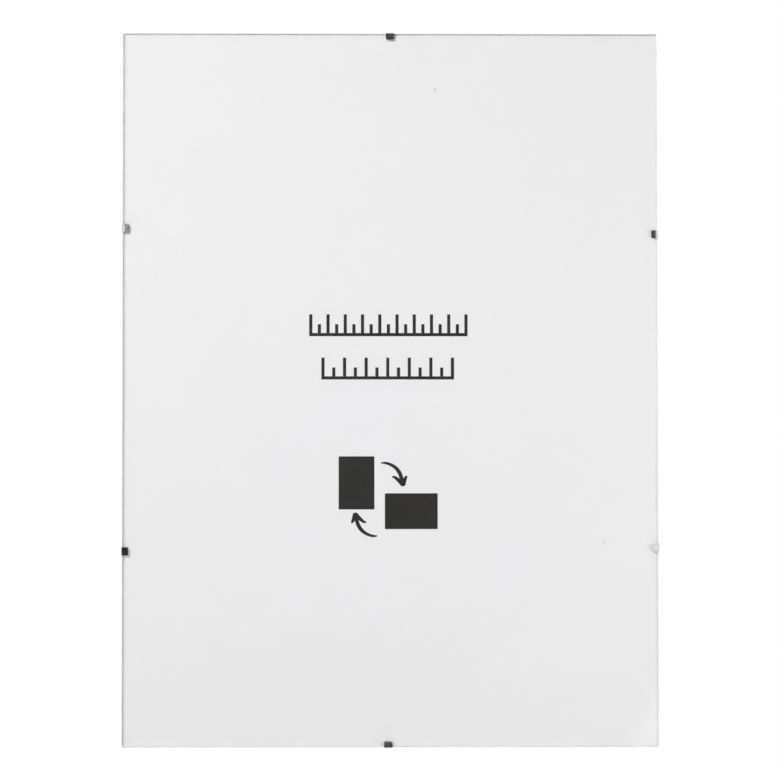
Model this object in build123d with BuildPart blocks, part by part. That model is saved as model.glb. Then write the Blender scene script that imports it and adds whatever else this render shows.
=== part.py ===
"""Frameless clip frame for a 300 x 400 mm picture, upright.

A pane of glass, the printed sheet and a hardboard back are held together by six spring
steel clips. Each clip hooks into a routed slot in the board and slides outward to let go.
Millimetres, +Z up, the glass faces -Y and the wall is on the +Y side. The origin is the
centre of the upper keyhole, halfway through its plate.
"""

import os
from math import sqrt

from build123d import *

# The pane and the sheets behind it
pane_width = 300.0
pane_height = 400.0
glass_thick = 2.0
glass_arris = 0.4
glass_corner = 0.8
air_film = 0.1
print_thick = 0.25
print_inset = 0.45
print_shift_right = 0.35
print_shift_down = 0.2
board_thick = 3.0
board_inset = 0.1
board_ease = 0.3

# The steel strip of a clip, from the finger's tip to the thumb lip
strip_thick = 0.4
finger_width = 4.5
finger_reach = 3.4
finger_corner = 0.6
tip_length = 0.9
tip_lift = 0.25
grip_clear = 0.05
wall_clear = 0.05
front_bend = 0.5
heel_bend = 0.9
heel_rise = 1.0
crest_inset = 6.0
crest_rise = 2.2
crest_bend = 9.0
foot_inset = 13.0
foot_bend = 3.0
foot_length = 7.5
foot_width = 8.4
lip_length = 1.8
lip_rise = 1.5
lip_bend = 1.0
lip_corner = 1.6
taper_inset = 3.0

# The tongue that is cut free of the foot and bent into the board
tongue_width = 3.2
tongue_depth = 2.0
tongue_setback = 2.0
tongue_bend = 0.6
tongue_root = 0.5
tongue_corner = 0.6
lance_gap = 0.3
window_length = 2.6
window_corner = 0.25

# How far a clip slides, and the room that its slot leaves
clip_travel = 7.0
slot_side_clear = 0.4
slot_end_clear = 0.15
slot_floor_clear = 0.2

# Places of the clips along their edges, from the middle of the edge
top_clip_offset = -0.2
bottom_clip_offset = -1.3
left_upper_rise = 90.4
left_lower_drop = 90.6
right_upper_rise = 87.1
right_lower_drop = 88.7

# The hanging plates
eye_drop = 48.0
plate_thick = 0.8
plate_length = 46.0
plate_corner = 5.0
plate_rim = 2.6
plate_rise = 2.4
plateau_length = 15.0
ramp_length = 3.0
plate_bend = 0.8
eye_radius = 3.5
key_width = 3.2
key_reach = 5.0

# The tubular rivets that hold a plate to the board
rivet_radius = 1.5
rivet_bore = 0.9
rivet_clear = 0.05
rivet_edge = 5.5
head_radius = 2.8
head_rise = 0.9
head_rim = 0.4
head_flat = 1.9
flange_radius = 2.5
flange_depth = 0.8
flange_clear = 0.1

# Derived places, in depth behind the front of the glass
sheet_depth = glass_thick + air_film
board_depth = sheet_depth + print_thick
stack_depth = board_depth + board_thick
overrun = 1.0

# Derived places in the part's own frame
front_y = -(stack_depth + plate_rise + plate_thick / 2)
middle_z = eye_drop - pane_height / 2


def back_view(depth):
    """The plane of a sheet at a depth behind the front of the glass, normal to the wall."""
    return Plane(origin=(0, front_y + depth, middle_z), x_dir=(-1, 0, 0), z_dir=(0, 1, 0))


def edge_plane(outward, place_x, place_z):
    """A plane on the front of the glass: y outward to an edge, x along it, z into depth."""
    depth_way = Vector(0, 1, 0)
    return Plane(
        origin=(place_x, front_y, middle_z + place_z),
        x_dir=Vector(*outward).cross(depth_way),
        z_dir=depth_way,
    )


# Each clip's name, the way that its edge faces and its place from the middle of the pane
clip_places = {
    "clip_top": ((0, 0, 1), top_clip_offset, pane_height / 2),
    "clip_bottom": ((0, 0, -1), bottom_clip_offset, -pane_height / 2),
    "clip_left_upper": ((-1, 0, 0), -pane_width / 2, left_upper_rise),
    "clip_left_lower": ((-1, 0, 0), -pane_width / 2, -left_lower_drop),
    "clip_right_upper": ((1, 0, 0), pane_width / 2, right_upper_rise),
    "clip_right_lower": ((1, 0, 0), pane_width / 2, -right_lower_drop),
}
clip_edges = {name: edge_plane(*place) for name, place in clip_places.items()}

# The depth of the foot's middle, where the tongue stands, and the slot that it travels in
foot_depth = stack_depth + grip_clear + strip_thick / 2
tongue_inset = foot_inset + tongue_setback
slot_radius = tongue_width / 2 + slot_side_clear
slot_round_loss = slot_radius - sqrt(slot_radius**2 - (tongue_width / 2) ** 2)
slot_end_room = strip_thick / 2 + slot_end_clear + slot_round_loss
slot_length = clip_travel + 2 * slot_end_room
slot_depth = tongue_depth + slot_floor_clear
slot_middle = tongue_inset - clip_travel / 2

# Where the rivets stand on a plate, and the plate's reach above and below its eye
rivet_offset = plate_length / 2 - rivet_edge
plate_above = key_reach + key_width / 2 + plate_rim
plate_below = eye_radius + plate_rim
plate_height = plate_above + plate_below
plate_middle = (plate_above - plate_below) / 2


def hanger_planes(depth):
    """The two hangers' planes: y points to the edge that hangs uppermost in that use."""
    portrait = edge_plane((0, 0, 1), 0, pane_height / 2 - eye_drop)
    landscape = edge_plane((-1, 0, 0), eye_drop - pane_width / 2, 0)
    return {"portrait": portrait.offset(depth), "landscape": landscape.offset(depth)}


def make_glass():
    """The pane, with small rounded corners and its edges ground off front and back."""
    with BuildPart() as glass_pane:
        with BuildSketch(back_view(0.0)):
            RectangleRounded(pane_width, pane_height, glass_corner)
        extrude(amount=glass_thick)
        faces = glass_pane.faces().filter_by(Axis.Y)
        chamfer(faces.edges(), glass_arris)
    return glass_pane.part


def make_sheet():
    """The printed sheet, cut smaller than the glass and slipped down and to one side."""
    with BuildPart() as printed_insert:
        with BuildSketch(back_view(sheet_depth)):
            with Locations((-print_shift_right, -print_shift_down)):
                Rectangle(pane_width - 2 * print_inset, pane_height - 2 * print_inset)
        extrude(amount=print_thick)
    return printed_insert.part


def make_board():
    """The hardboard back with eased edges, a blind slot for each clip and rivet holes."""
    with BuildPart() as backing_board:
        with BuildSketch(back_view(board_depth)):
            Rectangle(pane_width - 2 * board_inset, pane_height - 2 * board_inset)
        extrude(amount=board_thick)
        faces = backing_board.faces().filter_by(Axis.Y)
        chamfer(faces.edges(), board_ease)

        # a slot inward of each clip's edge, with the round ends that a router leaves
        for edge in clip_edges.values():
            with BuildSketch(edge.offset(stack_depth)):
                with Locations((0, -slot_middle)):
                    SlotOverall(slot_length, 2 * slot_radius, rotation=90)
            extrude(amount=-slot_depth, mode=Mode.SUBTRACT)

        # a hole for each rivet, with a seat in the front for its rolled flange
        for plane in hanger_planes(board_depth).values():
            with BuildSketch(plane):
                with Locations((-rivet_offset, 0), (rivet_offset, 0)):
                    Circle(rivet_radius + rivet_clear)
            extrude(amount=board_thick, mode=Mode.SUBTRACT)
            with BuildSketch(plane):
                with Locations((-rivet_offset, 0), (rivet_offset, 0)):
                    Circle(flange_radius + flange_clear)
            extrude(amount=flange_depth + flange_clear, mode=Mode.SUBTRACT)
    return backing_board.part


def strip_line():
    """The middle line of a clip's strip, as points of outward reach and depth."""
    finger_depth = -(grip_clear + strip_thick / 2)
    wall_reach = wall_clear + strip_thick / 2
    return [
        (-finger_reach, finger_depth - tip_lift),
        (-(finger_reach - tip_length), finger_depth),
        (wall_reach, finger_depth),
        (wall_reach, foot_depth + heel_rise),
        (-crest_inset, foot_depth + crest_rise),
        (-foot_inset, foot_depth),
        (-(foot_inset + foot_length), foot_depth),
        (-(foot_inset + foot_length + lip_length), foot_depth + lip_rise),
    ]


def tongue_line():
    """The middle line of the tongue, from its root in the foot down into the slot."""
    return [
        (-(tongue_inset - tongue_bend - tongue_root), foot_depth),
        (-tongue_inset, foot_depth),
        (-tongue_inset, stack_depth - tongue_depth),
    ]


def make_clip(edge):
    """A clip: finger, wall, bowed leg, foot with its bent tongue, and thumb lip."""
    side = Plane(origin=edge.origin, x_dir=edge.y_dir, z_dir=edge.x_dir)
    wall_outside = wall_clear + strip_thick
    blank_end = foot_inset + foot_length + lip_length + overrun
    front_room = grip_clear + strip_thick + tip_lift + overrun
    back_room = grip_clear + strip_thick + crest_rise + lip_rise + overrun
    with BuildPart() as clip:
        # the finger and the wall, as wide as the finger
        with BuildSketch(edge.offset(-front_room)):
            with Locations((0, wall_outside)):
                finger_span = finger_reach + wall_outside + overrun
                Rectangle(finger_width, finger_span, align=(Align.CENTER, Align.MAX))
        extrude(amount=front_room + stack_depth)

        # the leg, which widens from the heel to the foot
        with BuildSketch(edge.offset(stack_depth)):
            with BuildLine():
                Polyline(
                    (-finger_width / 2, wall_outside),
                    (-finger_width / 2, -taper_inset),
                    (-foot_width / 2, -foot_inset),
                    (-foot_width / 2, -blank_end),
                    (foot_width / 2, -blank_end),
                    (foot_width / 2, -foot_inset),
                    (finger_width / 2, -taper_inset),
                    (finger_width / 2, wall_outside),
                    close=True,
                )
            make_face()
        extrude(amount=back_room)

        # the bent strip, seen from the side, keeps only the metal
        with BuildSketch(side):
            with BuildLine():
                bends = [tip_length, front_bend, heel_bend, crest_bend, foot_bend, lip_bend]
                FilletPolyline(*strip_line(), radius=bends)
            trace(line_width=strip_thick)
        extrude(amount=foot_width, both=True, mode=Mode.INTERSECT)

        # the window that the tongue is cut from
        bend_start = tongue_inset - tongue_bend
        window_end = tongue_inset + window_length
        window_width = tongue_width + 2 * lance_gap
        with BuildSketch(edge.offset(stack_depth)):
            with Locations((0, -(bend_start + window_end) / 2)):
                RectangleRounded(window_width, window_end - bend_start, window_corner)
        extrude(amount=grip_clear + strip_thick + overrun, mode=Mode.SUBTRACT)

        # the tongue, bent down from the window's outer end into the slot
        with BuildSketch(side):
            with BuildLine():
                FilletPolyline(*tongue_line(), radius=tongue_bend)
            trace(line_width=strip_thick)
        extrude(amount=tongue_width / 2, both=True)

        # the corners at the ends of the finger, the lip and the tongue
        ends = [
            (strip_line()[0], finger_corner),
            (strip_line()[-1], lip_corner),
            (tongue_line()[-1], tongue_corner),
        ]
        for end_point, corner in ends:
            middle = edge.from_local_coords((0, *end_point))
            end_face = clip.faces().sort_by_distance(middle)[0]
            fillet(end_face.edges().sort_by(SortBy.LENGTH)[:2], corner)
    return clip.part


def make_hanger(plane):
    """A hanging plate: two feet on the board and a raised middle with a keyhole."""
    side = Plane(origin=plane.origin, x_dir=plane.x_dir, z_dir=-plane.y_dir)
    half_top = plateau_length / 2
    half_ramp = half_top + ramp_length
    with BuildPart() as hanger:
        with BuildSketch(plane):
            with Locations((0, plate_middle)):
                RectangleRounded(plate_length, plate_height, plate_corner)
        extrude(amount=plate_rise + plate_thick)
        with BuildSketch(side):
            with BuildLine():
                FilletPolyline(
                    (-plate_length / 2 - overrun, plate_thick / 2),
                    (-half_ramp, plate_thick / 2),
                    (-half_top, plate_rise + plate_thick / 2),
                    (half_top, plate_rise + plate_thick / 2),
                    (half_ramp, plate_thick / 2),
                    (plate_length / 2 + overrun, plate_thick / 2),
                    radius=plate_bend,
                )
            trace(line_width=plate_thick)
        extrude(amount=plate_height * 2, both=True, mode=Mode.INTERSECT)

        # the round eye that a nail's head enters, and the slot that its shank rides up
        with BuildSketch(plane):
            Circle(eye_radius)
            with Locations((0, key_reach / 2)):
                SlotCenterToCenter(key_reach, key_width, rotation=90)
        extrude(amount=plate_rise + plate_thick + overrun, mode=Mode.SUBTRACT)

        # the two rivet holes in its feet
        with BuildSketch(plane):
            with Locations((-rivet_offset, 0), (rivet_offset, 0)):
                Circle(rivet_radius + rivet_clear)
        extrude(amount=plate_thick, mode=Mode.SUBTRACT)
    return hanger.part


def make_rivets(plane):
    """The two tubular rivets of one hanging plate: head, hollow shank, rolled flange."""
    top = board_thick + plate_thick
    with BuildPart() as rivets:
        for offset in (-rivet_offset, rivet_offset):
            spot = Plane(
                origin=plane.from_local_coords((offset, 0, 0)),
                x_dir=plane.x_dir,
                z_dir=-plane.y_dir,
            )
            with BuildSketch(spot):
                with BuildLine():
                    Polyline(
                        (0, top + head_rise),
                        (0, board_thick),
                        (rivet_bore, board_thick),
                        (rivet_bore, flange_clear),
                        (flange_radius, flange_clear),
                        (rivet_radius, flange_depth),
                        (rivet_radius, top),
                        (head_radius, top),
                        (head_radius, top + head_rim),
                        (head_flat, top + head_rise),
                        close=True,
                    )
                make_face()
            revolve(axis=Axis(spot.origin, plane.z_dir))
    return rivets.part


def write_piece(piece, name):
    """Labels a finished piece and writes it."""
    piece.label = name
    export_step(piece, f"parts/{name}.step")
    print(name, len(piece.solids()), "solids", round(piece.volume, 1), "mm3")


os.makedirs("parts", exist_ok=True)
write_piece(make_glass(), "glass_pane")
write_piece(make_sheet(), "printed_insert")
write_piece(make_board(), "backing_board")
for clip_name, clip_edge in clip_edges.items():
    write_piece(make_clip(clip_edge), clip_name)
for use, seat in hanger_planes(stack_depth).items():
    write_piece(make_hanger(seat), f"hanger_{use}")
for use, seat in hanger_planes(board_depth).items():
    write_piece(make_rivets(seat), f"{use}_rivets")
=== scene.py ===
# %% [markdown]
# A clip frame, 300 x 400 mm
#
# A clip frame has no moulding. A pane of glass, a printed sheet and a brown hardboard are held together by
# six small spring steel clips, and two pressed plates on the back let it hang upright or on its side.
#
# The solids come from the CAD model, in metres, and stay where they are. This lesson gives them their looks,
# adds the print on the sheet, and sets up a small photo studio round the frame.

# %% Load the frame
import bpy
import math
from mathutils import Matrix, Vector


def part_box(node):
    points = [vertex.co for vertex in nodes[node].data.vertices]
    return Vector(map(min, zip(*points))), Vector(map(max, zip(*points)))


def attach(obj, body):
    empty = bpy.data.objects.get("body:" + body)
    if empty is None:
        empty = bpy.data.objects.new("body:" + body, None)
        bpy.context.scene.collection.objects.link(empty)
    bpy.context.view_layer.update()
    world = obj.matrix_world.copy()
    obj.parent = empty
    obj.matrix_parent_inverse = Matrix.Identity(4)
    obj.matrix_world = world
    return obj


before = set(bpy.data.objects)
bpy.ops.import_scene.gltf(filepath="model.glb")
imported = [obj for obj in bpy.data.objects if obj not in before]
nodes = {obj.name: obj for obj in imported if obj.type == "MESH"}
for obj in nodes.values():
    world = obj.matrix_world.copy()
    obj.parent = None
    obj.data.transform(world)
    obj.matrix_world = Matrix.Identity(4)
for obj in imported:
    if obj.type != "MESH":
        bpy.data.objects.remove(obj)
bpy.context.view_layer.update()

mm = 0.001
pane_low, pane_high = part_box("glass_pane")
pane_middle = (pane_low + pane_high) / 2
print("pieces from the CAD model:", ", ".join(sorted(nodes)))
print("glass in mm:", [round(side / mm, 2) for side in pane_high - pane_low])

# %% [markdown]
# The camera
#
# The photograph is taken almost straight on. The lower edge of the pane looks 4 pixels wider than the upper
# one, so the lens is a little below the middle and looks up by under two degrees. A short lens close by could
# take in the whole frame too, but the sides would lean more. A long lens from 1.6 m draws the pane's four
# corners within half a pixel of where the photograph has them.

# %% Camera
camera_reach = 1.6
left_of_middle = 22 * mm
below_middle = 45.5 * mm
tilt, roll, turn = (math.radians(degrees) for degrees in (91.605, 0.017, -0.779))
lens_mm = 131.66
bpy.ops.object.camera_add(
    location=(pane_middle.x - left_of_middle, pane_low.y - camera_reach, pane_middle.z - below_middle),
    rotation=(tilt, roll, turn),
)
camera = bpy.context.object
camera.name = "studio_camera"
camera.data.lens = lens_mm
bpy.context.scene.camera = camera
print("camera at", [round(place, 3) for place in camera.location], "lens in mm:", lens_mm)

# %% [markdown]
# Helpers for shader graphs
#
# A finish is a graph of nodes. Adding a node, setting it and linking it takes several lines each time, so
# these helpers do it in one: a value is written on the socket, and another node's output is linked to it.
# They could be wired by hand in the shader editor, but then no one could read in the file what was done.

# %% Node helpers
def add(tree, kind, sockets=None, **settings):
    """Adds one node; sockets holds its inputs by name or number, as values or as other nodes' outputs."""
    made = tree.nodes.new("ShaderNode" + kind)
    for name, value in settings.items():
        setattr(made, name, value)
    for name, value in (sockets or {}).items():
        if isinstance(value, bpy.types.NodeSocket):
            tree.links.new(value, made.inputs[name])
        else:
            made.inputs[name].default_value = value
    return made


def maths(tree, operation, first, second=0.0):
    """One Math node's result."""
    return add(tree, "Math", {0: first, 1: second}, operation=operation).outputs[0]


def spread(tree, value, low, high, new_low=0.0, new_high=1.0):
    """Stretches the part of a value between low and high over new_low to new_high, and clamps it."""
    sockets = {"Value": value, "From Min": low, "From Max": high, "To Min": new_low, "To Max": new_high}
    return add(tree, "MapRange", sockets).outputs["Result"]


def split(tree, vector):
    """Splits a place or a direction into its X, Y and Z."""
    return add(tree, "SeparateXYZ", {0: vector}).outputs


def opaque(colour):
    """Three numbers get an alpha of 1, and another node's output stays what it is."""
    return (*colour, 1.0) if isinstance(colour, tuple) else colour


def blend_colours(tree, share, first, second):
    """Mixes two colours; each is three numbers or another node's output."""
    sockets = {0: share, 6: opaque(first), 7: opaque(second)}
    return add(tree, "Mix", sockets, data_type="RGBA").outputs[2]


# %% [markdown]
# The studio
#
# The background of the photograph is plain white. The camera sees the world as white, and glass and metal
# see what a studio has: white walls behind the frame and at its sides, a little darker low down and where
# they are furthest off, and darkness behind the camera, which is why bright steel looks nearly black from the
# front. All other surfaces get a soft grey light from it. Walls could be modelled, but they would throw light
# and shadows on the paper. A world that asks what kind of ray is looking keeps all of that apart.

# %% World
dark_front = 0.02
low_walls = 0.7
far_wall_loss = 0.5
soft_light = 0.172

world = bpy.data.worlds.new("studio_world")
bpy.context.scene.world = world
world.use_nodes = True
tree = world.node_tree
tree.nodes.clear()
rays = add(tree, "LightPath").outputs
ray_way = split(tree, add(tree, "TexCoord").outputs["Generated"])
behind = spread(tree, ray_way["Y"], -0.25, 0.35, dark_front, 1.0)
mirrored = maths(tree, "MULTIPLY", behind, spread(tree, ray_way["Z"], -0.35, 0.25, low_walls, 1.0))
far_wall = spread(tree, ray_way["Y"], 0.75, 0.97, 0.0, far_wall_loss)
far_wall = maths(tree, "MULTIPLY", far_wall, rays["Is Glossy Ray"])
mirrored = maths(tree, "MULTIPLY", mirrored, maths(tree, "SUBTRACT", 1.0, far_wall))
in_studio = maths(tree, "MAXIMUM", rays["Is Glossy Ray"], rays["Is Transmission Ray"])
colour = blend_colours(tree, in_studio, (soft_light,) * 3, mirrored)
colour = blend_colours(tree, rays["Is Camera Ray"], colour, (1.0, 1.0, 1.0))
background = add(tree, "Background", {"Color": colour, "Strength": 1.0})
tree.links.new(background.outputs[0], add(tree, "OutputWorld").inputs["Surface"])
print("world nodes:", len(tree.nodes))

# %% [markdown]
# The lamps
#
# The key lamp is at the upper left, in front. Each clip throws a short shadow to its lower right on the
# sheet, and its length against the clip's height gives the lamp's angle, about 30 degrees off straight ahead.
# A sun would light the paper evenly, and the real paper is lightest at the upper left and darkest at the
# lower left. So the lamps are soft squares at a distance: the key lamp, a second, weaker one at the right,
# which nothing mirrors, and one behind the frame, which lights its back for other views. The board keeps
# that one off the paper.

# %% Lamps
def lamp(name, from_middle, size, power):
    """A square soft lamp, in metres and watts, placed from the middle of the pane and pointing at it."""
    place = pane_middle + Vector(from_middle)
    bpy.ops.object.light_add(type="AREA", location=place)
    made = bpy.context.object
    made.name = name
    made.data.size = size
    made.data.energy = power
    made.rotation_euler = (pane_middle - place).to_track_quat("-Z", "Y").to_euler()
    return made


key_lamp = lamp("key_lamp", from_middle=(-0.725, -1.628, 0.658), size=0.6, power=26.5)
side_lamp = lamp("side_lamp", from_middle=(0.5, -0.5, -0.07), size=0.3, power=1.38)
side_lamp.visible_glossy = side_lamp.visible_transmission = False
back_lamp = lamp("back_lamp", from_middle=(-0.95, 1.35, 0.85), size=0.6, power=24.0)
back_lamp.visible_transmission = False
print("lamps:", [light.name for light in (key_lamp, side_lamp, back_lamp)])

# %% [markdown]
# A new finish starts as an empty material. Generated coordinates would stretch a pattern with the piece that
# it is on. So patterns are laid out by Object coordinates, in metres from the frame's own origin, and they
# keep their size and stay on the piece when it moves.

# %% Finish helpers
def new_finish(name):
    """An empty material, its graph, and the Object coordinates that its patterns are laid out in."""
    finish = bpy.data.materials.new(name)
    finish.use_nodes = True
    tree = finish.node_tree
    tree.nodes.clear()
    return finish, tree, add(tree, "TexCoord").outputs["Object"]


def show(tree, shader):
    """Makes a shader the surface that is seen."""
    tree.links.new(shader.outputs[0], add(tree, "OutputMaterial").inputs["Surface"])


def show_surface(tree, sockets):
    """Shows a Principled shader with the given inputs."""
    show(tree, add(tree, "BsdfPrincipled", sockets))


# %% [markdown]
# The glint
#
# The glass has a faint glint in its lower right corner, where it mirrors a white card that stands by the
# camera. A bright patch could be painted into the glass, but it would stay there when the view changes. So
# there is a real card: a rectangle, cut along a slant, whose glow grows over the first centimetre from the
# cut. Only reflections see it.

# %% Reflected card
card_size = (0.78, 0.48, 1)
card_middle = (0.56, pane_low.y - camera_reach, -0.52)
cut_point = Vector((0.314, 0, -0.4465))
cut_away = Vector((-0.051, 0, 0.0236)).normalized()
soft_cut = 11 * mm
weakest_glow, full_glow = 0.02, 0.5

bpy.ops.object.select_all(action="DESELECT")
bpy.ops.mesh.primitive_plane_add(size=1, location=card_middle, rotation=(math.pi / 2, 0, 0))
card = bpy.context.object
card.name = "studio_card"
card.scale = card_size
bpy.ops.object.transform_apply(location=True, rotation=True, scale=True)
bpy.ops.object.mode_set(mode="EDIT")
bpy.ops.mesh.select_all(action="SELECT")
bpy.ops.mesh.bisect(plane_co=cut_point, plane_no=cut_away, clear_outer=True)
bpy.ops.object.mode_set(mode="OBJECT")
card.visible_camera = card.visible_diffuse = card.visible_shadow = False

card_finish, tree, place = new_finish("studio_card_white")
from_cut = add(tree, "VectorMath", {0: place, 1: cut_point}, operation="SUBTRACT").outputs[0]
past_cut = add(tree, "VectorMath", {0: from_cut, 1: -cut_away}, operation="DOT_PRODUCT").outputs["Value"]
glow = spread(tree, past_cut, 0.0, soft_cut, weakest_glow, full_glow)
show(tree, add(tree, "Emission", {"Color": opaque((1.0, 1.0, 1.0)), "Strength": glow}))
card.data.materials.append(card_finish)
print("card corners:", len(card.data.vertices))

# %% [markdown]
# The floor
#
# The frame hangs 0.3 m above a pale floor, which is below the photograph's view. Other views see it, with the
# frame's shadow on it. A floor could run on to the horizon, but the line where it ends would cross those
# views. So it is a disc whose rim fades into the white background for the camera, and for glass and metal
# into the studio, which is dark in front and white behind. For the camera some white lies over all of it.

# %% Floor
floor_radius = 2.4
hang_height = 0.3
haze = 0.4
clear_share, faded_share = 0.35, 0.98
floor_grey = (0.86, 0.86, 0.86)

bpy.ops.object.select_all(action="DESELECT")
bpy.ops.mesh.primitive_circle_add(vertices=96, radius=floor_radius, fill_type="NGON",
                                  location=(0, 0, pane_low.z - hang_height))
floor = bpy.context.object
floor.name = "studio_floor"

pale, tree, place = new_finish("pale_floor")
rays = add(tree, "LightPath").outputs
reflected = maths(tree, "MAXIMUM", rays["Is Transmission Ray"], rays["Is Glossy Ray"])
looked_at = maths(tree, "MAXIMUM", rays["Is Camera Ray"], reflected)
from_centre = add(tree, "VectorMath", {0: place}, operation="LENGTH").outputs["Value"]
rim = spread(tree, from_centre, floor_radius * clear_share, floor_radius * faded_share)
depth = split(tree, place)["Y"]
in_front = maths(tree, "MULTIPLY", reflected, spread(tree, depth, -0.1, -0.5))
white_share = maths(tree, "MAXIMUM", maths(tree, "MULTIPLY", rim, looked_at), in_front)
white_share = maths(tree, "MAXIMUM", white_share, maths(tree, "MULTIPLY", rays["Is Camera Ray"], haze))
mirrored = spread(tree, depth, -0.6, 0.8, dark_front, 1.0)
glow_colour = blend_colours(tree, reflected, (1.0, 1.0, 1.0), mirrored)
plain = add(tree, "BsdfDiffuse", {"Color": opaque(floor_grey)})
white = add(tree, "Emission", {"Color": glow_colour, "Strength": 1.0})
show(tree, add(tree, "MixShader", {0: white_share, 1: plain.outputs[0], 2: white.outputs[0]}))
floor.data.materials.append(pale)
print("floor radius in m:", floor_radius)

# %% [markdown]
# Helpers for patterns
#
# Most of what makes a surface look real is small and uneven: clouds, grain, scratches. Pictures of real
# surfaces could show it, but they repeat, and they blur close up. Noise of a given size in millimetres makes
# all of these, stretched along an axis where the real thing has a direction. The same noise can be a relief,
# which bends the light and leaves the mesh alone.

# %% Pattern helpers
def noise(tree, place, size_mm, detail=2.0, roughness=0.5, stretch=(1, 1, 1), distortion=0.0):
    """Cloudy noise whose blobs are about size_mm across, stretched along the axes."""
    scale = tuple(1 / (size_mm * mm * longer) for longer in stretch)
    mapped = add(tree, "Mapping", {"Vector": place, "Scale": scale}).outputs["Vector"]
    sockets = {"Vector": mapped, "Scale": 1.0, "Detail": detail, "Roughness": roughness}
    sockets["Distortion"] = distortion
    return add(tree, "TexNoise", sockets).outputs["Fac"]


def bump(tree, height, depth_mm, below=None):
    """Turns a height of 0 to 1 into a relief depth_mm deep, on top of another relief if one is given."""
    sockets = {"Height": height, "Distance": depth_mm * mm, "Strength": 1.0}
    if below is not None:
        sockets["Normal"] = below
    return add(tree, "Bump", sockets).outputs["Normal"]


def facing(tree, axis):
    """How far the surface faces along an axis: 1 along it, -1 against it, 0 across it."""
    return split(tree, add(tree, "TexCoord").outputs["Normal"])[axis]


def distance(tree, place, point):
    """How far a place is from a point."""
    return add(tree, "VectorMath", {0: place, 1: point}, operation="DISTANCE").outputs["Value"]


def blend_values(tree, share, first, second):
    """Mixes two numbers."""
    return add(tree, "Mix", {0: share, 2: first, 3: second}, data_type="FLOAT").outputs[0]


def put_on(finish, *node_names):
    """Gives CAD pieces a finish in place of their plain one."""
    for name in node_names:
        nodes[name].data.materials.clear()
        nodes[name].data.materials.append(finish)
    print(finish.name, "is on", ", ".join(node_names))


# %% [markdown]
# Picture glass
#
# The pane is 2 mm float glass. Its faces are polished, and its edges are ground: the arris is matt and looks
# grey-green, because one sees along the glass there. The two could be two materials on two sets of faces. One
# shader does both here, with its roughness and colour led by the way the surface faces, so the CAD mesh stays
# as it is. A renderer would take clear glass for something that throws a dark shadow, so for shadow rays,
# and for light that the paper gives back, the glass stands aside.

# %% Glass
clear_tint = (0.99, 0.99, 0.99)
ground_tint = (0.81, 0.835, 0.82)
aside_tint = (0.98, 0.98, 0.98)
glass_index = 1.52

glass, tree, place = new_finish("picture_glass_finish")
ground = spread(tree, maths(tree, "ABSOLUTE", facing(tree, "Y")), 0.97, 0.9)
smears = noise(tree, place, 34, detail=4, stretch=(1, 1, 2.4))
grinding = noise(tree, place, 0.25, detail=3)
polished_roughness = spread(tree, smears, 0.35, 0.8, 0.0, 0.02)
ground_roughness = spread(tree, grinding, 0.3, 0.7, 0.36, 0.5)
pane = add(tree, "BsdfPrincipled", {
    "Base Color": blend_colours(tree, ground, clear_tint, ground_tint),
    "Roughness": blend_values(tree, ground, polished_roughness, ground_roughness),
    "Normal": bump(tree, maths(tree, "MULTIPLY", grinding, ground), 0.01),
    "IOR": glass_index,
    "Transmission Weight": 1.0,
})
rays = add(tree, "LightPath").outputs
let_through = maths(tree, "MAXIMUM", rays["Is Shadow Ray"], rays["Is Diffuse Ray"])
aside = add(tree, "BsdfTransparent", {"Color": opaque(aside_tint)})
show(tree, add(tree, "MixShader", {0: let_through, 1: pane.outputs[0], 2: aside.outputs[0]}))
put_on(glass, "glass_pane")

# %% [markdown]
# The printed sheet
#
# The sheet is smooth white coated paper. A flat white would do for a glance, but the real sheet isn't one
# colour: the coating has a faint cloudiness and a very fine grain. Round the middle a faint blue light is
# painted onto it. All of that is weak, a hundredth or two.

# %% Paper
sheet_low, sheet_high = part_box("printed_insert")
plain_white = (0.80, 0.80, 0.799)
bluish_white = (0.80, 0.796, 0.814)
grain_grey = (0.7, 0.7, 0.7)
blue_light_centre = pane_middle + Vector((5, 0, -70)) * mm
blue_core, blue_reach = 60 * mm, 130 * mm

paper, tree, place = new_finish("coated_paper_finish")
clouds = noise(tree, place, 90, detail=2)
grain = noise(tree, place, 0.5, detail=3, roughness=0.6)
fibres = noise(tree, place, 0.9, detail=2, stretch=(3, 1, 1), distortion=1.2)
# Painted light: a faint blue tint of light, strongest round a point below the middle of the sheet.
painted_blue_light = spread(tree, distance(tree, place, blue_light_centre), blue_core, blue_reach, 1.0, 0.0)
painted_blue_light = maths(tree, "MULTIPLY", spread(tree, clouds, 0.3, 0.55), painted_blue_light)
white_paper = blend_colours(tree, painted_blue_light, plain_white, bluish_white)
white_paper = blend_colours(tree, spread(tree, grain, 0.3, 0.7, 0.0, 0.025), white_paper, grain_grey)
print("sheet in mm:", [round(side / mm, 2) for side in sheet_high - sheet_low])
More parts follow.
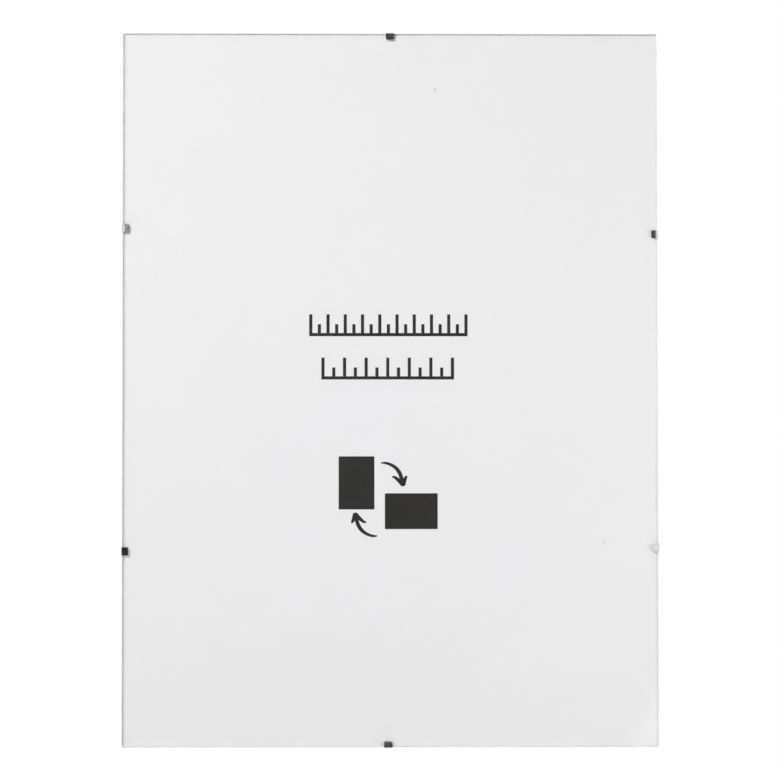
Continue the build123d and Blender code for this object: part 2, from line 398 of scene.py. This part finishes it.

# %% [markdown]
# The sheet's left and upper edges lie clear of the glass's ground rim, and there a grey margin of painted
# shade stands in for the light that the rim keeps off the paper. A painted shade also runs along the lower
# half of its right edge. Two specks of dust lie on it, one near the top and one at the lower right. All of
# them are one share of grey, worked out from how far a place is from an edge or from a speck. Painting would
# do it too, but a distance is exact and can be changed.

# %% Painted edge shade and dust
shade_and_dust_grey = (0.36, 0.36, 0.35)
on_sheet = split(tree, place)
from_left = maths(tree, "SUBTRACT", on_sheet["X"], sheet_low.x)
from_right = maths(tree, "SUBTRACT", sheet_high.x, on_sheet["X"])
from_top = maths(tree, "SUBTRACT", sheet_high.z, on_sheet["Z"])
# Painted shade: grey margins along the left, upper and lower right edges of the sheet. The specks further
# down are dust.
left_edge_shade = spread(tree, from_left, 0.3 * mm, 1.0 * mm, 0.35, 0.07)
top_edge_shade = spread(tree, from_top, 0.2 * mm, 0.7 * mm, 0.1, 0.0)
near_trim = spread(tree, maths(tree, "MINIMUM", from_left, from_top), 1.0 * mm, 2.0 * mm, 1.0, 0.0)
edge_shade_and_dust = maths(tree, "MULTIPLY", maths(tree, "MAXIMUM", left_edge_shade, top_edge_shade), near_trim)
lower_half = spread(tree, on_sheet["Z"], pane_middle.z, pane_middle.z - 60 * mm)
right_edge_shade = spread(tree, from_right, 0.2 * mm, 1.8 * mm, 0.2, 0.0)
edge_shade_and_dust = maths(tree, "MAXIMUM", edge_shade_and_dust, maths(tree, "MULTIPLY", right_edge_shade, lower_half))
edge_shade_and_dust = maths(tree, "MULTIPLY", edge_shade_and_dust, spread(tree, clouds, 0.2, 0.6, 0.7, 1.0))

specks = (
    {"across": 25.2, "up": 168.7, "core": 0.4, "reach": 1.3, "strength": 0.45},
    {"across": 120.0, "up": -85.7, "core": 0.9, "reach": 1.5, "strength": 0.22},
)
for speck in specks:
    speck_place = Vector((speck["across"], 0, speck["up"])) * mm + pane_middle
    speck_place.y = sheet_low.y
    from_speck = distance(tree, place, speck_place)
    dust = spread(tree, from_speck, speck["core"] * mm, speck["reach"] * mm, speck["strength"], 0.0)
    edge_shade_and_dust = maths(tree, "MAXIMUM", edge_shade_and_dust, dust)

show_surface(tree, {
    "Base Color": blend_colours(tree, edge_shade_and_dust, white_paper, shade_and_dust_grey),
    "Roughness": spread(tree, grain, 0.3, 0.7, 0.42, 0.55),
    "Normal": bump(tree, fibres, 0.004),
    "Specular IOR Level": 0.3,
})
put_on(paper, "printed_insert")
print("specks of dust:", len(specks))

# %% [markdown]
# The print
#
# Black ink lies on the paper, in the hair's breadth of air behind the glass. It shows a frame upright and a
# frame lying down, with two arrows that turn one into the other: the sign that the frame hangs both ways.
# Above it the sheet has two measuring scales, as plain ticks. A picture could be laid on the sheet, but it
# would turn to squares close up. So the ink is modelled as thin patches: an edge that is geometry stays sharp
# at any distance.

# %% Ink
ink, tree, place = new_finish("printing_ink_finish")
mottle = noise(tree, place, 1.4, detail=3)
screen = noise(tree, place, 0.22, detail=2)
deep_black, worn_black = (0.021, 0.0205, 0.019), (0.026, 0.025, 0.0235)
show_surface(tree, {
    "Base Color": blend_colours(tree, spread(tree, mottle, 0.3, 0.7), deep_black, worn_black),
    "Roughness": spread(tree, screen, 0.3, 0.7, 0.4, 0.6),
    "Normal": bump(tree, screen, 0.002),
    "Specular IOR Level": 0.12,
})
print("ink nodes:", len(tree.nodes))

# %% [markdown]
# Each patch of ink starts as an upright plane of the right size on the front of the paper. Its corners get a
# small round, because ink creeps a little, and it is pulled out by the thickness of the ink. A cube could be
# scaled to it, but its corners would be sharper than a printer's. A finished print has its place in its mesh,
# like the CAD pieces, takes the ink finish and moves with the frame's body.

# %% Print helpers
ink_thick = 0.02 * mm
paper_front = sheet_low.y


def settle_print(piece, name):
    """Puts a finished print on the sheet: named, inked, its place in its mesh, moving with the frame."""
    bpy.ops.object.transform_apply(location=True, rotation=True, scale=True)
    piece.name = name
    piece.data.materials.clear()
    piece.data.materials.append(ink)
    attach(piece, "frame")
    print(name, len(piece.data.polygons), "faces")


def ink_patch(left, right, top, bottom, corner):
    """A flat patch with softened corners on the paper, by its sides in mm from the middle of the pane."""
    bpy.ops.object.select_all(action="DESELECT")
    middle = pane_middle + Vector(((left + right) / 2, 0, (top + bottom) / 2)) * mm
    bpy.ops.mesh.primitive_plane_add(size=1, location=(middle.x, paper_front, middle.z),
                                     rotation=(math.pi / 2, 0, 0))
    patch = bpy.context.object
    patch.scale = ((right - left) * mm, (top - bottom) * mm, 1)
    bpy.ops.object.transform_apply(location=False, rotation=True, scale=True)
    bpy.ops.object.mode_set(mode="EDIT")
    bpy.ops.mesh.select_all(action="SELECT")
    bpy.ops.mesh.bevel(offset=corner * mm, segments=3, affect="VERTICES")
    bpy.ops.mesh.extrude_region_move(TRANSFORM_OT_translate={"value": (0, -ink_thick, 0)})
    bpy.ops.mesh.select_all(action="SELECT")
    bpy.ops.mesh.normals_make_consistent(inside=False)
    bpy.ops.object.mode_set(mode="OBJECT")
    return patch


def copy_of(piece):
    """A copy with its own mesh, which is then the one piece that is selected."""
    bpy.ops.object.select_all(action="DESELECT")
    piece.select_set(True)
    bpy.context.view_layer.objects.active = piece
    bpy.ops.object.duplicate()
    return bpy.context.object


# %% [markdown]
# The sign's two frames are plain rectangles of about 20 x 30 mm, one upright and one lying, with their sides
# measured on the photograph from the middle of the pane. Curves could draw them, as they do the arrows below,
# but a patch says the same with four numbers.

# %% The two frames of the sign
sign_corner = 0.25
upright = ink_patch(left=-29.0, right=-8.95, top=-37.55, bottom=-67.3, corner=sign_corner)
settle_print(upright, "print_upright_frame")
lying = ink_patch(left=-3.1, right=26.5, top=-58.25, bottom=-78.3, corner=sign_corner)
settle_print(lying, "print_lying_frame")

# %% [markdown]
# An arrow of the sign has a stroke that swells towards its head, like a brush stroke. A patch of straight
# sides can't follow that, so a closed curve draws its outline: smooth points along the stroke, and two sharp
# ones where the head's wings leave it. Filled and turned upright it becomes a patch of ink. The second arrow
# is a copy of the first one, turned by half a turn.

# %% The two arrows of the sign
arrow_outline = [
    (-5.3, -41.4), (-3.65, -40.65), (-2.9, -40.55), (0.15, -41.3), (2.85, -42.65), (5.1, -44.75),
    (6.65, -47.55), (7.4, -49.95), (7.55, -49.5), (8.95, -48.35), (9.45, -48.55), (9.25, -50.0),
    (8.6, -52.6), (8.35, -53.75), (6.3, -54.3), (5.2, -53.2), (3.3, -51.15), (1.85, -49.8),
    (1.0, -49.3), (0.95, -48.8), (2.15, -48.5), (3.8, -49.15), (5.15, -50.2), (4.6, -48.25),
    (3.25, -45.9), (1.2, -43.85), (-0.95, -42.6), (-3.3, -41.85), (-4.1, -41.7),
]
wing_roots = [(7.4, -49.95), (5.15, -50.2)]
curve_steps = 6

bpy.ops.object.select_all(action="DESELECT")
bpy.ops.curve.primitive_bezier_circle_add(location=pane_middle, rotation=(math.pi / 2, 0, 0))
arrow = bpy.context.object
arrow.data.dimensions = "2D"
arrow.data.fill_mode = "BOTH"
arrow.data.extrude = ink_thick / 2
arrow.data.resolution_u = curve_steps
outline = arrow.data.splines[0]
outline.bezier_points.add(len(arrow_outline) - len(outline.bezier_points))
for point, (across, up) in zip(outline.bezier_points, arrow_outline):
    point.co = (across * mm, up * mm, 0)
    handle = "VECTOR" if (across, up) in wing_roots else "AUTO"
    point.handle_left_type = point.handle_right_type = handle
arrow.location.y = paper_front - ink_thick / 2
bpy.ops.object.convert(target="MESH")
arrow = bpy.context.object
settle_print(arrow, "print_arrow_down")

turn_centre = pane_middle + Vector((-6.3, 0, -61.7)) * mm
second_arrow = copy_of(arrow)
bpy.ops.object.mode_set(mode="EDIT")
bpy.ops.mesh.select_all(action="SELECT")
bpy.ops.transform.rotate(value=math.pi, orient_axis="Y", center_override=(turn_centre.x, 0, turn_centre.z))
bpy.ops.object.mode_set(mode="OBJECT")
settle_print(second_arrow, "print_arrow_up")

# %% [markdown]
# A scale is a base line with ticks on it, and every second tick is short. One long and one short tick are
# modelled, the others are copies of these, set side by side, and in the end all are joined into one print.
# An array modifier could repeat the pair, but it would end on a pair, and a scale ends on a long tick.

# %% The two scales
tick_corner = 0.2
short_share = 0.55


def printed_scale(name, left, right, top, bottom, steps, stroke=1.8):
    """A base line with ticks, by its sides in mm from the middle of the pane."""
    line = ink_patch(left, right, bottom + stroke, bottom, tick_corner)
    pitch = (right - left - stroke) / steps
    second = left + pitch
    short_top = bottom + (top - bottom) * short_share
    ticks = [
        ink_patch(left, left + stroke, top, bottom + stroke, tick_corner),
        ink_patch(second, second + stroke, short_top, bottom + stroke, tick_corner),
    ]
    for number in range(len(ticks), steps + 1):
        ticks.append(copy_of(ticks[number - 2]))
        bpy.ops.transform.translate(value=(2 * pitch * mm, 0, 0))
    bpy.ops.object.select_all(action="DESELECT")
    for part in (line, *ticks):
        part.select_set(True)
    bpy.context.view_layer.objects.active = line
    bpy.ops.object.join()
    settle_print(line, name)


printed_scale("print_scale_upper", left=-45.55, right=43.35, top=42.15, bottom=29.85, steps=18)
printed_scale("print_scale_lower", left=-38.7, right=35.75, top=17.85, bottom=5.55, steps=12)

# %% [markdown]
# Hardboard
#
# The back is 3 mm hardboard, wood fibre pressed at great heat. The face against the sheet is smooth and has a
# pale grey primer, which shows as a thin line round the sheet. The sawn edges show the layers of fibre, and
# there and in the milled slots the brown is lighter and woolly, because the blade has torn the fibres. Each
# face could have its own material. Here one graph does all of it, led by the way the surface faces and by its
# depth, and the brown runs on from one face to the next.

# %% Hardboard faces
board_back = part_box("backing_board")[1].y
mill_start, mill_full = 0.15 * mm, 0.25 * mm

hardboard, tree, place = new_finish("hardboard_finish")
outward = facing(tree, "Y")
back_face = spread(tree, outward, 0.6, 0.8)
front_face = spread(tree, outward, -0.8, -0.9)
flat_face = spread(tree, maths(tree, "ABSOLUTE", outward), 0.6, 0.8)
in_board = split(tree, place)
below_back = spread(tree, in_board["Y"], board_back - mill_full, board_back - mill_start, 1.0, 0.0)
milled = maths(tree, "MULTIPLY", below_back, back_face)
cut = maths(tree, "MAXIMUM", maths(tree, "SUBTRACT", 1.0, flat_face), milled)
print("board's back at y in mm:", round(board_back / mm, 2))

# %% [markdown]
# The pressed brown is a felt of fibres that lie along and across the board, and the torn brown shows layers
# with lighter wool on them. The primer was rolled on, so it has a fine, even mottle. A single tone for each
# would look like plastic, so each is two or three tones of one brown or grey that noise mixes.

# %% Hardboard browns
pressed_dark, pressed_light, pressed_stain = (0.125, 0.068, 0.034), (0.25, 0.145, 0.075), (0.10, 0.052, 0.026)
torn_dark, torn_light, torn_wool = (0.155, 0.088, 0.046), (0.31, 0.195, 0.11), (0.40, 0.27, 0.165)
primer_dark, primer_light = (0.52, 0.52, 0.51), (0.57, 0.57, 0.56)

fibre_along = noise(tree, place, 1.6, detail=4, stretch=(5, 1, 0.7), distortion=1.6)
fibre_across = noise(tree, place, 1.6, detail=4, stretch=(0.7, 1, 5), distortion=1.6)
fibre = maths(tree, "MAXIMUM", fibre_along, fibre_across)
patches = noise(tree, place, 38, detail=3)
pressed = blend_colours(tree, spread(tree, fibre, 0.42, 0.78), pressed_dark, pressed_light)
pressed = blend_colours(tree, spread(tree, patches, 0.3, 0.7, 0.0, 0.35), pressed, pressed_stain)
layers = noise(tree, place, 0.14, detail=3, roughness=0.6, stretch=(6, 1, 6), distortion=0.3)
wool = noise(tree, place, 0.3, detail=3, stretch=(2, 1, 2), distortion=1.0)
torn = blend_colours(tree, spread(tree, layers, 0.35, 0.7), torn_dark, torn_light)
torn = blend_colours(tree, spread(tree, wool, 0.5, 0.75, 0.0, 0.5), torn, torn_wool)
board_colour = blend_colours(tree, cut, pressed, torn)
roller = noise(tree, place, 0.9, detail=3)
primer = blend_colours(tree, spread(tree, roller, 0.35, 0.65), primer_dark, primer_light)
board_colour = blend_colours(tree, front_face, board_colour, primer)
print("hardboard nodes so far:", len(tree.nodes))

# %% [markdown]
# The back keeps the imprint of the wire mesh that the board was pressed on, a weave of 1.7 mm and a third of
# a millimetre deep. Two sine waves multiplied give its humps and hollows. It could be cut into the mesh, but
# that would take millions of faces for something that a relief shows as well from any normal distance.

# %% Hardboard relief
wire_pitch = 1.7 * mm
mesh_depth, fibre_depth, torn_depth, primer_depth = 0.3, 0.05, 0.09, 0.01
mesh_share, mesh_brown = 0.55, (0.075, 0.04, 0.021)

waves = 2 * math.pi / wire_pitch
warp = maths(tree, "SINE", maths(tree, "MULTIPLY", in_board["X"], waves))
weft = maths(tree, "SINE", maths(tree, "MULTIPLY", in_board["Z"], waves))
uncut = maths(tree, "MAXIMUM", maths(tree, "SUBTRACT", back_face, cut), 0.0)
mesh_print = spread(tree, maths(tree, "MULTIPLY", warp, weft), -1.0, 1.0)
mesh_print = maths(tree, "MULTIPLY", mesh_print, uncut)
printed_share = maths(tree, "MULTIPLY", mesh_print, mesh_share)
board_colour = blend_colours(tree, printed_share, board_colour, mesh_brown)
relief = bump(tree, mesh_print, mesh_depth)
relief = bump(tree, maths(tree, "MULTIPLY", fibre, back_face), fibre_depth, relief)
torn_fibres = maths(tree, "MULTIPLY", maths(tree, "ADD", layers, wool), cut)
relief = bump(tree, torn_fibres, torn_depth, relief)
relief = bump(tree, maths(tree, "MULTIPLY", roller, front_face), primer_depth, relief)
bare = maths(tree, "MAXIMUM", back_face, cut)
primer_roughness = spread(tree, roller, 0.4, 0.7, 0.45, 0.6)
fibre_roughness = spread(tree, fibre, 0.4, 0.7, 0.68, 0.9)
show_surface(tree, {
    "Base Color": board_colour,
    "Roughness": blend_values(tree, bare, primer_roughness, fibre_roughness),
    "Normal": relief,
})
put_on(hardboard, "backing_board")

# %% [markdown]
# Spring steel clips
#
# A clip is bent from plated spring strip. The rolls leave fine lines along the strip, and handling adds small
# scratches. In time the plating tarnishes in dark blotches. A pale matt share is painted reflection: it
# stands in for bright surroundings mirrored in the steel, so where it lies the shader is less of a metal. Six
# materials could be wired one by one, but then a change to the steel would have to be made six times. So
# there is one recipe for all six.

# %% Clip finish
polished = (0.60, 0.59, 0.57)
tarnish_black = (0.05, 0.05, 0.048)
scratch_white = (0.8, 0.79, 0.77)
stained_tone = 0.72
painted_reflection_roughness = 0.7
half_pane = pane_high - pane_middle


def past_edge(tree, place):
    """How far a place lies outside the edge of the pane. Inside it the value is negative."""
    from_middle = add(tree, "VectorMath", {0: place, 1: pane_middle}, operation="SUBTRACT").outputs[0]
    from_middle = split(tree, from_middle)
    past_side = maths(tree, "SUBTRACT", maths(tree, "ABSOLUTE", from_middle["X"]), half_pane.x)
    past_end = maths(tree, "SUBTRACT", maths(tree, "ABSOLUTE", from_middle["Z"]), half_pane.z)
    return maths(tree, "MAXIMUM", past_side, past_end)


def clip_finish(name, plating=polished, roughness=0.16, lengthways="X", tarnish=0.1,
                painted_reflection=0.0, bend_painted_reflection=0.0, bend=(-1.15, 0.0), painted_reflection_tone=0.84):
    """Plated strip. The rolling lines follow the lengthways axis. Tarnish and the painted reflections, all
    over and on the bend, are shares up to 1. The bend's painted reflection grows between two places, in mm
    outward from the edge of the pane."""
    finish, tree, place = new_finish(name)
    lines = noise(tree, place, 0.12, detail=2, stretch=(40, 3, 1) if lengthways == "X" else (1, 3, 40))
    scratches = noise(tree, place, 0.5, detail=4, roughness=0.7, distortion=2.0)
    scratches = spread(tree, scratches, 0.62, 0.7)
    stains = noise(tree, place, 3.0, detail=3)
    stained = tuple(part * stained_tone for part in plating)
    colour = blend_colours(tree, spread(tree, stains, 0.35, 0.75, 0.0, 0.5), plating, stained)

    blotches = noise(tree, place, 1.1, detail=3, roughness=0.6)
    towards_front = spread(tree, split(tree, place)["Y"], pane_high.y, pane_low.y, 0.3, 1.0)
    blotched = maths(tree, "MULTIPLY", spread(tree, blotches, 0.42, 0.6, 0.0, tarnish), towards_front)
    colour = blend_colours(tree, blotched, colour, tarnish_black)
    colour = blend_colours(tree, maths(tree, "MULTIPLY", scratches, 0.12), colour, scratch_white)

    # Painted reflection: the pale matt share mixed in below, on the outer bend and all over, stands in for
    # bright surroundings mirrored in the steel.
    on_bend = spread(tree, past_edge(tree, place), bend[0] * mm, bend[1] * mm, 0.0, bend_painted_reflection)
    painted_reflection_share = spread(tree, noise(tree, place, 0.8, detail=4, roughness=0.65), 0.3, 0.65, 0.8, 1.0)
    painted_reflection_share = maths(tree, "MULTIPLY", painted_reflection_share, maths(tree, "MAXIMUM", on_bend, painted_reflection))
    colour = blend_colours(tree, painted_reflection_share, colour, (painted_reflection_tone, painted_reflection_tone, painted_reflection_tone * 0.95))

    rough = spread(tree, stains, 0.3, 0.7, roughness - 0.03, roughness + 0.04)
    rough = maths(tree, "ADD", rough, maths(tree, "MULTIPLY", scratches, 0.05))
    show_surface(tree, {
        "Base Color": colour,
        "Metallic": maths(tree, "SUBTRACT", 1.0, painted_reflection_share),
        "Roughness": blend_values(tree, painted_reflection_share, rough, painted_reflection_roughness),
        "Normal": bump(tree, scratches, 0.001, bump(tree, lines, 0.0015)),
    })
    return finish


# %% [markdown]
# No two clips catch the light alike. Most are polished and mirror the dark studio. The upper left one has
# tarnished and has a darker plating, the lower right one is pale all over, and the two upper side clips are
# pale on the outer bend. That paleness is painted reflection, and the differing plating tones are partly
# painted light and shade, set to how each clip catches the light. So each clip gets its own tone, roughness,
# tarnish and painted reflection from the recipe.

# %% Clips
# The pale shares in this table are painted reflection, and the plating tones are partly painted light and
# shade.
clips = {
    "clip_top": {"lengthways": "Z"},
    "clip_bottom": {"lengthways": "Z", "roughness": 0.27, "tarnish": 0.2},
    "clip_left_upper": {"plating": (0.28, 0.28, 0.27), "roughness": 0.3, "tarnish": 0.9,
                        "bend_painted_reflection": 0.8, "bend": (-1.5, 0.6)},
    "clip_left_lower": {"roughness": 0.15},
    "clip_right_upper": {"plating": (0.56, 0.57, 0.51), "roughness": 0.28, "tarnish": 0.15,
                         "bend_painted_reflection": 0.9},
    "clip_right_lower": {"plating": (0.9, 0.9, 0.86), "roughness": 0.62, "tarnish": 0.0,
                         "painted_reflection": 0.75, "painted_reflection_tone": 0.62},
}
for clip, recipe in clips.items():
    put_on(clip_finish(clip + "_plating", **recipe), clip)

# %% [markdown]
# Hanging plates
#
# The plates are pressed from zinc-plated sheet. Zinc has a soft grey sheen with faint cells, a touch of blue
# and yellow, and rub marks from the screw heads that slide on it. A plain grey metal would look like the
# clips' steel, so the cells and tints are drawn, as weakly as on the real plating.

# %% Zinc plating
cells_per_metre = 260.0
bluish_zinc, yellowish_zinc = (0.55, 0.57, 0.60), (0.62, 0.60, 0.54)
cell_grey, rubbed_bright = (0.45, 0.46, 0.47), (0.75, 0.74, 0.72)

zinc, tree, place = new_finish("zinc_plate_finish")
cells = add(tree, "TexVoronoi", {"Vector": place, "Scale": cells_per_metre}, feature="F1").outputs["Distance"]
tints = noise(tree, place, 6, detail=3)
rubs = spread(tree, noise(tree, place, 0.7, detail=4, roughness=0.7, distortion=1.5), 0.58, 0.68)
colour = blend_colours(tree, spread(tree, tints, 0.35, 0.65), bluish_zinc, yellowish_zinc)
colour = blend_colours(tree, spread(tree, cells, 0.0, 0.7, 0.0, 0.3), colour, cell_grey)
colour = blend_colours(tree, maths(tree, "MULTIPLY", rubs, 0.3), colour, rubbed_bright)
show_surface(tree, {
    "Base Color": colour,
    "Metallic": 1.0,
    "Roughness": spread(tree, tints, 0.3, 0.7, 0.3, 0.42),
    "Normal": bump(tree, cells, 0.01),
})
put_on(zinc, "hanger_portrait", "hanger_landscape")

# %% [markdown]
# The rivets are plated brighter than the plates, and the setting tool has left small marks on their heads.
# They could share the zinc, but then the heads would be lost on the plate.

# %% Rivet plating
bright_plating, dulled_plating = (0.66, 0.65, 0.62), (0.5, 0.49, 0.46)

rivet_metal, tree, place = new_finish("rivet_finish")
marks = noise(tree, place, 0.4, detail=4, roughness=0.65, distortion=1.0)
dulled = spread(tree, noise(tree, place, 1.8, detail=2), 0.35, 0.7)
show_surface(tree, {
    "Base Color": blend_colours(tree, dulled, bright_plating, dulled_plating),
    "Metallic": 1.0,
    "Roughness": spread(tree, marks, 0.35, 0.65, 0.24, 0.4),
    "Normal": bump(tree, marks, 0.015),
})
put_on(rivet_metal, "portrait_rivets", "landscape_rivets")

# %% [markdown]
# Colour
#
# The view transform is Standard, so that a colour comes out as it is written. Filmic ones are kinder to
# bright light, but they would grey the white background.

# %% Finish
bpy.context.scene.view_settings.view_transform = "Standard"
